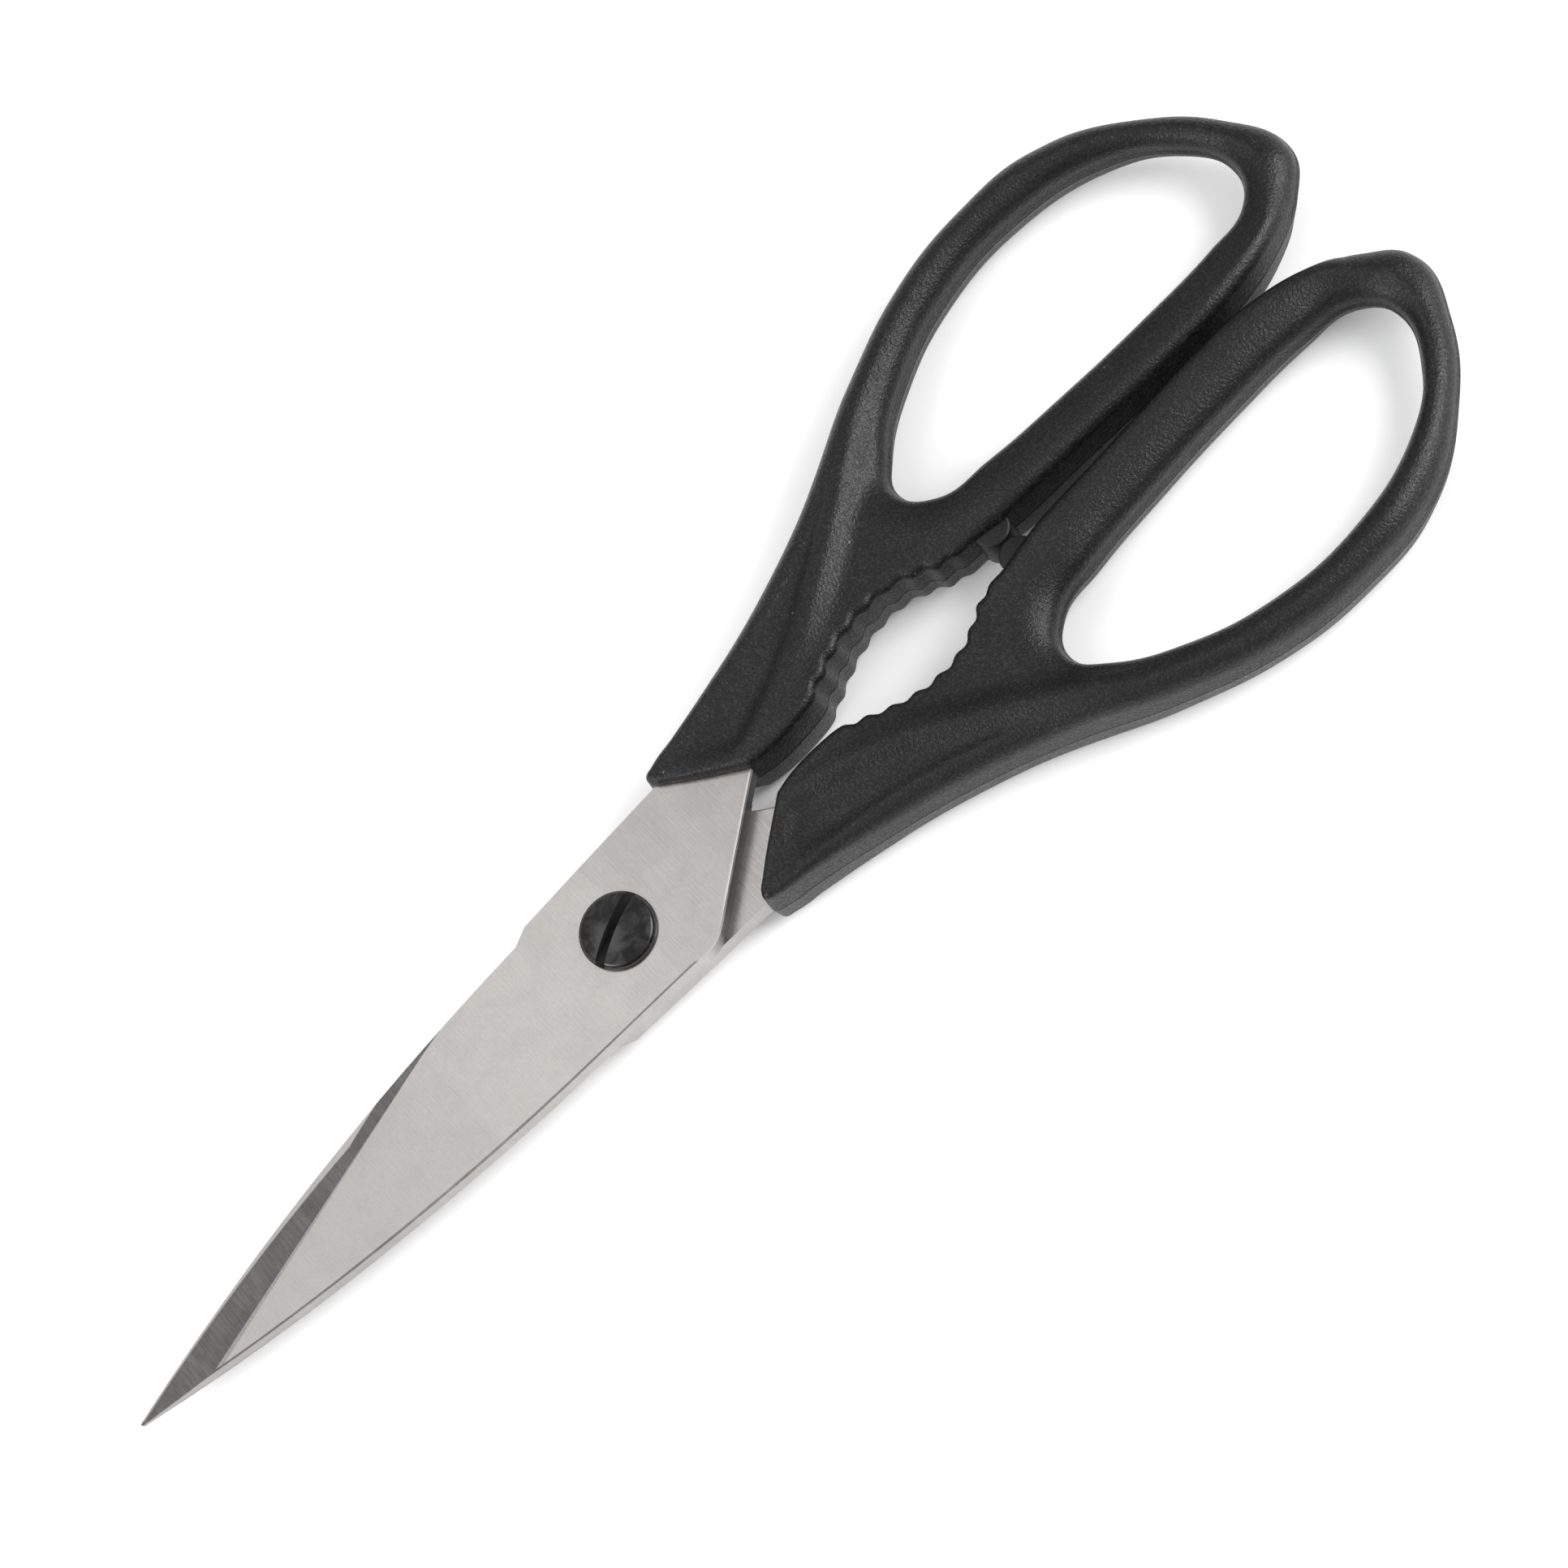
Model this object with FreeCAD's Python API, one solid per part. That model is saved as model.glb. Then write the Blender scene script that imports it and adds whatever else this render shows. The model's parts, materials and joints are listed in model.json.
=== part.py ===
import FreeCAD, Part
import math
import os

os.makedirs("parts", exist_ok=True)

# Poultry shears lying closed, millimetres. Each half is drawn with the pivot at x = y = 0,
# its handle at +y and the blades' sliding plane at z = 0. The other half is the same drawing turned
# 180 degrees about x.
# The finished part has its origin at the bottom centre of its box: +x towards the handles, +z up.

# blades
tip_x = -90.2
tip_round = 0.2
tip_half_width = 0.35
blade_end_x = -11.5
edge_mid = (-55.0, 6.9)
edge_half_width = 10.15
spine_half_width = 10.4
stock = 3.0
taper_start_x = 2.0
taper_end_x = -30.0
blade_thick = 2.4
tip_thick = 2.2
slide_gap = 0.02
tang_step_x = 24.0
tang_step = 0.2
heel = (10.0, 9.9)
heel_start = (5.0, 11.0)
diagonal_end = (27.0, 2.7)
collar_top = (16.3, 11.0)
facet_start = (-28.0, 8.3)
facet_end = (-77.0, -3.3)
facet_slope = 0.31
edge_angle = 66.0
edge_run_out = (-8.4, 10.3)
edge_run_out_slope = 0.4355
hone_angle = 44.0
hone_fade = (-45.0, -29.0)
spine_chamfer = 0.2
tang_hole_radius = 2.2
tang_holes = ((38.0, 11.0), (53.0, 15.0))

# pivot
pivot_radius = 3.0
running_fit = 0.03
thread_radius = 2.5
head_washer_radius = 5.4
washer_thick = 0.4
head_radius = 5.0
head_rim = 0.45
head_height = 1.55
slot_width = 1.0
slot_depth = 0.8
slot_angle = 28.0
nut_across_flats = 8.0
nut_height = 2.3
nut_corner_angle = 30.0
nut_washer_radius = 4.9
screw_end_chamfer = 0.4

# handles
handle_half_thick = 6.25
nose_half_thick = 4.3
end_half_thick = 5.2
nose_full_x = 42.0
end_full_x = 104.0
handle_end_x = 135.6
outer_round = 1.1
hole_round = 2.4
scallops = 8
scallop_radius = 3.4
scallop_bite = 0.45
scallop_margin = 4.2

# stop buffers between the handles
buffer_x = 71.7
buffer_radius = 2.7
buffer_half_height = 3.4
buffer_gap = 0.15

centre_x = 0.5 * (tip_x + handle_end_x)
outer_curve = [(18.0, 13.0), (30.0, 15.9), (45.0, 20.2), (60.0, 26.3), (72.0, 32.6), (86.0, 37.9),
               (100.0, 39.67), (113.5, 38.0), (124.8, 31.0), (132.5, 21.7), (135.6, 12.0), (131.6, 6.7),
               (125.0, 3.1), (115.0, 0.9), (105.0, 0.65), (90.0, 1.2), (76.0, 2.1), (69.5, 2.8)]
grip_curve = [(69.5, 2.8), (66.5, 3.1), (63.0, 4.2), (58.0, 6.0), (52.5, 6.6), (47.0, 5.5), (42.0, 3.5),
              (38.5, 2.4), (36.0, 2.2)]
hole_curve = [(66.7, 17.0), (70.1, 12.2), (78.0, 10.5), (90.0, 9.5), (105.0, 8.9), (118.0, 9.2),
              (125.4, 10.65), (128.5, 15.5), (124.9, 24.15), (116.9, 30.1), (104.0, 33.25), (90.0, 32.2),
              (78.0, 27.8),
              (70.1, 22.5)]


def flat(x, y, z=0.0):
    return FreeCAD.Vector(x, y, z)


def line(a, b):
    return Part.LineSegment(flat(*a), flat(*b)).toShape()


def arc(a, b, c):
    return Part.Arc(flat(*a), flat(*b), flat(*c)).toShape()


def spline(points, closed=False):
    curve = Part.BSplineCurve()
    curve.interpolate([flat(*p) for p in points], PeriodicFlag=closed)
    return curve.toShape()


def prism(edges, low, high):
    face = Part.Face(Part.Wire(edges))
    face.translate(flat(0, 0, low))
    return face.extrude(flat(0, 0, high - low))


def polygon(points):
    return Part.makePolygon([flat(*p) for p in list(points) + [points[0]]]).Edges


def side_prism(points):
    """A plate drawn in x and z, wide enough in y to cross the whole part."""
    wire = Part.makePolygon([FreeCAD.Vector(x, -60, z) for x, z in list(points) + [points[0]]])
    return Part.Face(wire).extrude(flat(0, 120, 0))


def blade_outline():
    tip_start = tip_x + tip_round
    edge_tip = (tip_start, tip_half_width)
    spine_tip = (tip_start, -tip_half_width)
    edge_end = (blade_end_x, edge_half_width)
    spine_end = (blade_end_x, -spine_half_width)
    heel_low = (heel_start[0], -heel_start[1])
    heel_high = (heel[0], -heel[1])
    return [
        arc(spine_tip, (tip_x, 0.0), edge_tip),
        arc(edge_tip, edge_mid, edge_end),
        line(edge_end, collar_top),
        line(collar_top, (30.0, 13.0)),
        line((30.0, 13.0), (58.0, 20.5)),
        arc((58.0, 20.5), (62.3, 18.0), (60.0, 14.2)),
        line((60.0, 14.2), (44.0, 10.4)),
        line((44.0, 10.4), diagonal_end),
        line(diagonal_end, heel_high),
        arc(heel_high, (8.2, -10.8), heel_low),
        line(heel_low, spine_end),
        arc(spine_end, (edge_mid[0], -edge_mid[1]), spine_tip),
    ]


def blade_side():
    """Full stock round the pivot, then a long taper; the inner face steps back a little at the tang."""
    return side_prism([(tip_x - 1, slide_gap), (tang_step_x, slide_gap), (tang_step_x, slide_gap + tang_step),
                       (70, slide_gap + tang_step), (70, stock), (taper_start_x, stock),
                       (taper_end_x, blade_thick), (facet_end[0], tip_thick), (tip_x - 1, tip_thick)])


def facet_tool():
    """The wide flat that thins the blade towards its tip and cutting edge."""
    run_x = facet_end[0] - facet_start[0]
    run_y = facet_end[1] - facet_start[1]
    length = math.hypot(run_x, run_y)
    along = flat(run_x / length, run_y / length)
    across = flat(along.y, -along.x)
    start = flat(facet_start[0], facet_start[1], blade_thick) - along * 20
    corners = [(-2, 2 * facet_slope), (30, -30 * facet_slope), (30, 6), (-2, 6)]
    points = [start + across * n + FreeCAD.Vector(0, 0, z) for n, z in corners]
    face = Part.Face(Part.makePolygon(points + [points[0]]))
    return face.extrude(along * 100)


def edge_tool(angle, corners):
    """All that lies outside a cone that touches the cutting edge on the sliding plane, over a drawn area."""
    circle = Part.Circle(flat(tip_x + tip_round, tip_half_width), flat(*edge_mid),
                         flat(blade_end_x, edge_half_width))
    low = -6.0
    high = 6.0
    slope = 1.0 / math.tan(math.radians(angle))
    cone = Part.makeCone(circle.Radius - (low - slide_gap) * slope,
                         circle.Radius - (high - slide_gap) * slope, high - low,
                         FreeCAD.Vector(circle.Center.x, circle.Center.y, low))
    return prism(polygon(corners), low, high).cut(cone)


def grind_edge(blade):
    """A steep bevel up to the ricasso, then a flatter honed one that fades out before it."""
    left = tip_x - 10
    back_x = edge_run_out[0] - edge_run_out[1] / edge_run_out_slope
    top_y = 22.0
    top_x = edge_run_out[0] + (top_y - edge_run_out[1]) / edge_run_out_slope
    blade = blade.cut(edge_tool(edge_angle, [(left, 0), (back_x, 0), (top_x, top_y), (left, top_y)]))
    start, end = hone_fade
    blade = blade.cut(edge_tool(hone_angle, [(left, 0), (start, 0), (start, top_y), (left, top_y)]))
    fade = edge_tool(hone_angle, [(start, 0), (blade_end_x, 0), (blade_end_x, top_y), (start, top_y)])
    fade.rotate(flat(start, 0), flat(0, 1, 0), -math.degrees(math.atan(blade_thick / (end - start))))
    return blade.cut(fade)


def break_spine(blade):
    """A fine chamfer along the top of the spine."""
    edges = []
    for edge in blade.Edges:
        box = edge.BoundBox
        along_spine = box.YMax < -tip_half_width and box.XMax < heel_start[0] + 0.1
        if along_spine and box.ZMin > 0.5 * tip_thick and box.XMax - box.XMin > 1.0:
            edges.append(edge)
    return blade.makeChamfer(spine_chamfer, edges)


def make_blade(hole_radius):
    blade = prism(blade_outline(), 0, stock + 1).common(blade_side())
    blade = break_spine(blade)
    blade = blade.cut(facet_tool())
    blade = grind_edge(blade)
    blade = blade.cut(Part.makeCylinder(hole_radius, 10, flat(0, 0, -5)))
    for x, y in tang_holes:
        blade = blade.cut(Part.makeCylinder(tang_hole_radius, 10, flat(x, y, -5)))
    return blade


def handle_outline():
    collar_foot = (diagonal_end[0] + 0.2, diagonal_end[1] - 0.2)
    return [
        line(collar_foot, (16.6, 10.8)),
        arc((16.6, 10.8), (16.15, 12.15), outer_curve[0]),
        spline(outer_curve + grip_curve[1:]),
        line(grip_curve[-1], (30.5, 2.0)),
        arc((30.5, 2.0), (28.8, 2.05), collar_foot),
    ]


def rim_edges(body):
    """The edges of the flat top and bottom faces."""
    edges = []
    for face in body.Faces:
        if abs(face.normalAt(0, 0).z) > 0.99:
            edges += face.Edges
    return edges


def round_rims(body, radius):
    return body.makeFillet(radius, rim_edges(body))


def cut_scallops(body):
    """Shallow upright hollows in the gripping wall, evenly spaced along it."""
    wall = spline(grip_curve)
    step = (wall.Length - 2 * scallop_margin) / (scallops - 1)
    for i in range(scallops):
        at = wall.getParameterByLength(scallop_margin + i * step)
        along = wall.tangentAt(at)
        outward = flat(along.y, -along.x)
        if outward.y > 0:
            outward = outward * -1
        centre = wall.valueAt(at) + outward * (scallop_radius - scallop_bite)
        body = body.cut(Part.makeCylinder(scallop_radius, 40, centre - flat(0, 0, 20)))
    return body


def make_buffer():
    centre = flat(buffer_x, buffer_radius + 0.5 * buffer_gap, -buffer_half_height)
    return Part.makeCylinder(buffer_radius, 2 * buffer_half_height, centre)


def make_handle(blade, stop_buffer):
    body = round_rims(prism(handle_outline(), -handle_half_thick, handle_half_thick), outer_round)
    plug = prism([spline(hole_curve, closed=True)], -2 * handle_half_thick, 2 * handle_half_thick)
    body = body.cut(plug)
    body = body.makeFillet(hole_round, [e for e in rim_edges(body) if e.BoundBox.XMin > grip_curve[-1][0]
                                        and e.isClosed()])
    half_side = [(10, nose_half_thick), (nose_full_x, handle_half_thick), (end_full_x, handle_half_thick),
                 (handle_end_x + 1, end_half_thick)]
    body = body.common(side_prism(half_side + [(x, -z) for x, z in reversed(half_side)]))
    return cut_scallops(body).cut(blade).cut(stop_buffer)


def ring(radius, hole, low, high):
    disc = Part.makeCylinder(radius, high - low, flat(0, 0, low))
    return disc.cut(Part.makeCylinder(hole, high - low, flat(0, 0, low)))


def make_screw(head_low):
    """Slotted head with a low dome, a plain shank through both blades and a thread for the nut."""
    sphere_rise = head_height - head_rim
    sphere_radius = (head_radius * head_radius + sphere_rise * sphere_rise) / (2 * sphere_rise)
    dome = Part.makeSphere(sphere_radius, flat(0, 0, head_low + head_height - sphere_radius))
    head = Part.makeCylinder(head_radius, head_height, flat(0, 0, head_low)).common(dome)
    slot = Part.makeBox(4 * head_radius, slot_width, 2 * slot_depth,
                        flat(-2 * head_radius, -0.5 * slot_width, head_low + head_height - slot_depth))
    slot.rotate(flat(0, 0), flat(0, 0, 1), slot_angle)
    shank = Part.makeCylinder(pivot_radius, head_low + stock, flat(0, 0, -stock))
    thread_end = -stock - washer_thick - nut_height
    thread = Part.makeCylinder(thread_radius, -stock - thread_end, flat(0, 0, thread_end))
    end_edges = [e for e in thread.Edges if abs(e.BoundBox.ZMax - thread_end) < 0.01]
    thread = thread.makeChamfer(screw_end_chamfer, end_edges)
    return head.cut(slot).fuse(shank).fuse(thread).removeSplitter()


def make_nut():
    top = -stock - washer_thick
    corners = [flat(math.cos(math.radians(60 * i)), math.sin(math.radians(60 * i))) for i in range(6)]
    across_corners = nut_across_flats / math.sqrt(3)
    hexagon = polygon([(c.x * across_corners, c.y * across_corners) for c in corners])
    nut = prism(hexagon, top - nut_height, top)
    slope = math.tan(math.radians(nut_corner_angle))
    drum = Part.makeCone(0.5 * nut_across_flats, 0.5 * nut_across_flats + nut_height / slope, nut_height,
                         flat(0, 0, top - nut_height))
    hole = Part.makeCylinder(thread_radius, 2 * nut_height, flat(0, 0, top - 1.5 * nut_height))
    return nut.common(drum).cut(hole)


def other_half(shape):
    turned = shape.copy()
    turned.rotate(flat(0, 0), flat(1, 0), 180)
    return turned


def write(name, shape):
    placed = shape.copy()
    placed.translate(flat(-centre_x, 0, handle_half_thick))
    placed.exportStep("parts/" + name + ".step")
    box = placed.optimalBoundingBox()
    print(name, "solids", len(placed.Solids), "valid", placed.isValid(), "volume", round(placed.Volume, 1),
          [round(v, 2) for v in (box.XMin, box.XMax, box.YMin, box.YMax, box.ZMin, box.ZMax)])


stop_buffer = make_buffer()
front_blade = make_blade(pivot_radius + running_fit)
front_handle = make_handle(front_blade, stop_buffer)
fixed_blade = make_blade(pivot_radius)
head_low = stock + washer_thick + slide_gap

write("front_blade", front_blade)
write("front_handle", front_handle)
write("front_stop_buffer", stop_buffer)
write("rear_blade", other_half(fixed_blade))
write("rear_handle", other_half(front_handle))
write("rear_stop_buffer", other_half(stop_buffer))
write("head_washer", ring(head_washer_radius, pivot_radius, stock + slide_gap, head_low))
write("pivot_screw", make_screw(head_low))
write("nut_washer", ring(nut_washer_radius, thread_radius, -stock - washer_thick, -stock))
write("pivot_nut", make_nut())
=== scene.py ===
import json
import math
import bpy
from mathutils import Matrix, Vector, geometry, kdtree


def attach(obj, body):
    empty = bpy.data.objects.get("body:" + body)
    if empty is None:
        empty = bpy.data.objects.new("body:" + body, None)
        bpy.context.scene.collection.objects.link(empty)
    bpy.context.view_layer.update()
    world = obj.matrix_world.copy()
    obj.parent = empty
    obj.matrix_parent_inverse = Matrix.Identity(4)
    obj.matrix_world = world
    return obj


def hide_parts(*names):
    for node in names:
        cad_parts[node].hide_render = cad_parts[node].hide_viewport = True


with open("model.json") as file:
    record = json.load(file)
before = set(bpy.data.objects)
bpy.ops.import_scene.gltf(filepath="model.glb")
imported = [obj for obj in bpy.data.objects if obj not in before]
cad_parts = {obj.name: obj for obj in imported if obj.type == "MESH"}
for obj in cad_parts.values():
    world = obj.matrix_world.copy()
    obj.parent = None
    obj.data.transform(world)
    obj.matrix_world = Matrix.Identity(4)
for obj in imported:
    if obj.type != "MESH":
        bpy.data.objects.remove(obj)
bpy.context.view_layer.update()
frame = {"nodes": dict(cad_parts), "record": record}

scene = bpy.context.scene

# where the camera stands: it looks down on the shears from the rear handle's side
view = {
    "aim": (0.0062, -0.0006, 0.00625),  # a little on the handle side of the pivot
    "elevation": 65.0,
    "roll": 45.26,
    "distance": 0.74,
    "lens": 129.5,
    "sensor": 36.0,
    "clip": (0.01, 20.0),
}


def placeCamera():
    data = bpy.data.cameras.new("studioCamera")
    data.lens = view["lens"]
    data.sensor_width = view["sensor"]
    data.clip_start, data.clip_end = view["clip"]
    camera = bpy.data.objects.new("studioCamera", data)
    scene.collection.objects.link(camera)
    tilt = Matrix.Rotation(math.radians(90.0 - view["elevation"]), 4, "X")
    roll = Matrix.Rotation(math.radians(-view["roll"]), 4, "Z")
    back = tilt @ Vector((0.0, 0.0, view["distance"]))
    camera.matrix_world = Matrix.Translation(Vector(view["aim"]) + back) @ tilt @ roll
    scene.camera = camera


# pale floor, a weak light high on the far side, a strong one beside the handles and one by the tips
studio = {
    "floorSide": 3.0,
    "floorTone": 0.97,
    "floorRoughness": 0.9,
    "floorGlow": 0.10,  # keeps the paper nearly white
    "worldTone": (0.985, 0.99, 1.0),
    "worldPower": 0.46,
    "lights": {
        "keyLight": {"at": (-0.35, 0.40, 1.00), "size": 0.70, "power": 2.6},
        "sideFill": {"at": (0.75, -0.35, 0.60), "size": 0.60, "power": 10.5},
        "tipFill": {"at": (-0.80, -0.10, 0.50), "size": 0.50, "power": 5.0},
    },
}


def layFloor():
    bpy.ops.object.select_all(action="DESELECT")
    bpy.ops.mesh.primitive_plane_add(size=studio["floorSide"], location=(0.0, 0.0, 0.0))
    floor = bpy.context.object
    floor.name = "floor"
    paper = bpy.data.materials.new("palePaper")
    paper.use_nodes = True
    shader = paper.node_tree.nodes["Principled BSDF"]
    shader.inputs["Base Color"].default_value = (studio["floorTone"],) * 3 + (1.0,)
    shader.inputs["Roughness"].default_value = studio["floorRoughness"]
    shader.inputs["Emission Color"].default_value = (1.0, 1.0, 1.0, 1.0)
    shader.inputs["Emission Strength"].default_value = studio["floorGlow"]
    floor.data.materials.append(paper)


def hangLights():
    for name, light in studio["lights"].items():
        data = bpy.data.lights.new(name, "AREA")
        data.size = light["size"]
        data.energy = light["power"]
        lamp = bpy.data.objects.new(name, data)
        scene.collection.objects.link(lamp)
        lamp.location = light["at"]
        lamp.rotation_euler = (-Vector(light["at"])).to_track_quat("-Z", "Y").to_euler()
    world = bpy.data.worlds.new("studioWorld")
    world.use_nodes = True
    sky = world.node_tree.nodes["Background"]
    sky.inputs["Color"].default_value = studio["worldTone"] + (1.0,)
    sky.inputs["Strength"].default_value = studio["worldPower"]
    scene.world = world


placeCamera()
scene.view_settings.view_transform = "Standard"
layFloor()
hangLights()
print("camera, floor and lights are set")

mm = 0.001
pivot = Vector(frame["record"]["behaviour"]["joints"][0]["pos_m"])


def fromPivot(x, y, z):
    # a place given in mm from the pivot, in the frame's metres
    return (pivot.x + x * mm, pivot.y + y * mm, pivot.z + z * mm)


def lerp(low, high, share):
    return low + (high - low) * share


def ease(value, low, high):
    share = min(1.0, max(0.0, (value - low) / (high - low)))
    return share * share * (3.0 - 2.0 * share)


def newMaterial(name):
    material = bpy.data.materials.new(name)
    material.use_nodes = True
    return material, material.node_tree, material.node_tree.nodes["Principled BSDF"]


def addNode(tree, kind, settings=None, **inputs):
    # makes a node, sets its options, then fills or links its sockets by name or number
    node = tree.nodes.new(kind)
    for key, value in (settings or {}).items():
        setattr(node, key, value)
    for key, value in inputs.items():
        socket = node.inputs[int(key[1:])] if key[0] == "n" and key[1:].isdigit() else node.inputs[key]
        if isinstance(value, bpy.types.NodeSocket):
            tree.links.new(value, socket)
        else:
            socket.default_value = value
    return node


def calc(tree, operation, a, b=0.0, c=0.0):
    return addNode(tree, "ShaderNodeMath", {"operation": operation}, n0=a, n1=b, n2=c).outputs[0]


def multiply(tree, first, *others):
    for other in others:
        first = calc(tree, "MULTIPLY", first, other)
    return first


def dimWhere(tree, share, mask, factor):
    # multiplies the share by the factor where the mask is one
    return calc(tree, "MULTIPLY", share, calc(tree, "MULTIPLY_ADD", mask, factor - 1.0, 1.0))


def fade(tree, value, low, high, start=0.0, end=1.0):
    node = addNode(tree, "ShaderNodeMapRange", {"interpolation_type": "SMOOTHSTEP"}, n0=value, n1=low, n2=high,
                   n3=start, n4=end)
    return node.outputs[0]


def grain(tree, place, scale, detail=2.0, roughness=0.5, distortion=0.0, stretch=(1.0, 1.0, 1.0), turn=0.0):
    mapping = addNode(tree, "ShaderNodeMapping", Vector=place)
    mapping.inputs["Scale"].default_value = stretch
    mapping.inputs["Rotation"].default_value = (0.0, 0.0, math.radians(turn))
    noise = addNode(tree, "ShaderNodeTexNoise", Vector=mapping.outputs[0], Scale=scale, Detail=detail,
                    Roughness=roughness, Distortion=distortion)
    return noise.outputs["Fac"]


def blendTone(tree, share, low, high):
    node = addNode(tree, "ShaderNodeMix", {"data_type": "RGBA"}, n0=share)
    for socket, value in ((node.inputs[6], low), (node.inputs[7], high)):
        if isinstance(value, bpy.types.NodeSocket):
            tree.links.new(value, socket)
        else:
            socket.default_value = (*value, 1.0)
    return node.outputs[2]


def scaleTone(tree, tone, factor):
    return addNode(tree, "ShaderNodeVectorMath", {"operation": "SCALE"}, n0=tone, Scale=factor).outputs[0]


def pastLine(tree, x, y, at, degrees):
    # distance in mm from a line drawn on the flat, positive on its left
    turn = math.radians(degrees)
    alongX = calc(tree, "MULTIPLY", calc(tree, "SUBTRACT", x, at[0]), -math.sin(turn))
    return calc(tree, "MULTIPLY_ADD", calc(tree, "SUBTRACT", y, at[1]), math.cos(turn), alongX)


def addBumps(tree, shader, layers):
    # stacks (height, depth in mm) pairs into one normal
    normal = None
    for height, depth in layers:
        bump = addNode(tree, "ShaderNodeBump", Height=height, Distance=depth * mm, Strength=1.0)
        if normal:
            tree.links.new(normal, bump.inputs["Normal"])
        normal = bump.outputs[0]
    tree.links.new(normal, shader.inputs["Normal"])


def millimetres(tree, flip):
    # position measured in mm from the pivot, turned over for the rear half
    coordinate = addNode(tree, "ShaderNodeTexCoord")
    shifted = addNode(tree, "ShaderNodeVectorMath", {"operation": "SUBTRACT"}, n0=coordinate.outputs["Object"],
                      n1=tuple(pivot))
    scaled = addNode(tree, "ShaderNodeVectorMath", {"operation": "MULTIPLY"}, n0=shifted.outputs[0],
                     n1=(1.0 / mm, flip / mm, flip / mm))
    return scaled.outputs[0]


plasticLook = {
    "dark": (0.0026, 0.0026, 0.0027), "light": (0.0210, 0.0210, 0.0215), "speck": (0.11, 0.11, 0.115),
    "fine": {"scale": 2.8, "detail": 2.5, "roughness": 0.62},
    "cloud": {"scale": 0.16, "detail": 4.0, "roughness": 0.6},
    "specks": {"scale": 1.15, "detail": 1.0, "roughness": 0.4},
    "rub": {"scale": 0.5, "detail": 3.0, "roughness": 0.6},
    "nicks": {"scale": 0.9, "distortion": 0.6, "stretch": (1.0, 2.2, 1.0), "turn": 30.0},
    "toneRange": (0.42, 0.74), "cloudRange": (0.3, 0.7, 0.85, 1.15), "speckRange": (0.80, 0.84),
    "seamRange": (0.13, 0.20, 0.03, 1.0), "roughRange": (0.3, 0.75, 0.46, 0.26),
    "rubRange": (0.4, 0.8, 0.0, -0.05), "nickRange": (0.70, 0.78),
    "shine": 0.36, "fineDepth": 0.13, "nickDepth": -0.06,
}


def handlePlastic(name, flip):
    look = plasticLook
    material, tree, shader = newMaterial(name)
    place = millimetres(tree, flip)
    fine = grain(tree, place, **look["fine"])
    cloudy = grain(tree, place, **look["cloud"])
    specks = fade(tree, grain(tree, place, **look["specks"]), *look["speckRange"])
    tone = blendTone(tree, fade(tree, fine, *look["toneRange"]), look["dark"], look["light"])
    tone = scaleTone(tree, tone, fade(tree, cloudy, *look["cloudRange"]))
    tone = blendTone(tree, specks, tone, look["speck"])

    # the mould seam at mid-height is dark
    height = calc(tree, "ABSOLUTE", addNode(tree, "ShaderNodeSeparateXYZ", Vector=place).outputs[2])
    tone = scaleTone(tree, tone, fade(tree, height, *look["seamRange"]))
    tree.links.new(tone, shader.inputs["Base Color"])
    rough = fade(tree, fine, *look["roughRange"])
    rub = fade(tree, grain(tree, place, **look["rub"]), *look["rubRange"])
    tree.links.new(calc(tree, "ADD", rough, rub), shader.inputs["Roughness"])
    shader.inputs["Specular IOR Level"].default_value = look["shine"]
    nicks = fade(tree, grain(tree, place, **look["nicks"]), *look["nickRange"])
    addBumps(tree, shader, [(fine, look["fineDepth"]), (nicks, look["nickDepth"])])
    return material


steelLook = {
    "tone": (0.43, 0.412, 0.395), "facetTone": 0.72, "honeTone": 0.95,
    "flat": {"tip": (-90.2, 2.2), "middle": (-30.0, 2.4)},  # height of the flat face along x
    "facet": {"at": (-28.0, 8.3), "turn": 13.32, "slope": 0.31},
    "facetStart": (0.0, 0.05), "facetSkin": (0.06, 0.03), "honeSkin": (0.03, 0.06), "edgeRange": (0.0, 0.02),
    # painted shade: the blade face darkens towards the tip
    "tipShadeRange": (-60.0, -5.0, 0.82, 1.0),
    "heel": {"at": (10.0, -9.9), "turn": 36.54},
    # painted shade on the cut heel wall and its corner, and a painted highlight along the heel's top edge
    "heelShadeTone": 0.26, "heelShadeRange": (0.08, 0.16, 1.0, 0.0), "heelShadeTop": (0.03, 0.08), "heelShadeFoot": (0.0, 0.05),
    "cornerShadeX": (5.5, 10.0), "cornerShadeY": (-9.6, -9.8),
    "edgeHighlightTone": 1.45, "edgeHighlightRange": (0.16, 0.34, 1.0, 0.0), "edgeHighlightTop": (0.08, 0.03), "edgeHighlightX": (9.0, 14.0),
    "cross": {"scale": 1.0, "detail": 3.0, "roughness": 0.65, "stretch": (6.0, 0.22, 0.22)},
    "slant": {"scale": 1.0, "detail": 3.0, "roughness": 0.65, "stretch": (5.0, 0.25, 0.25), "turn": 38.0},
    "soft": {"scale": 0.22, "detail": 4.0, "roughness": 0.6, "distortion": 0.4},
    "fine": {"scale": 2.6, "detail": 4.0, "roughness": 0.65},
    "slantX": (11.0, 17.0), "strokeRange": (0.35, 0.68),
    "softRange": (0.3, 0.7, 0.91, 1.05), "fineRange": (0.3, 0.7, 0.97, 1.03),
    "faceStrokes": 0.12, "facetStrokes": 0.16, "innerStrokes": (0.0, 0.06, 0.26, 0.0),
    "roughness": 0.34, "strokeRoughness": 0.06, "softRoughness": 0.12,
    "strokeDepth": 0.012, "fineDepth": 0.005,
}


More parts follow.
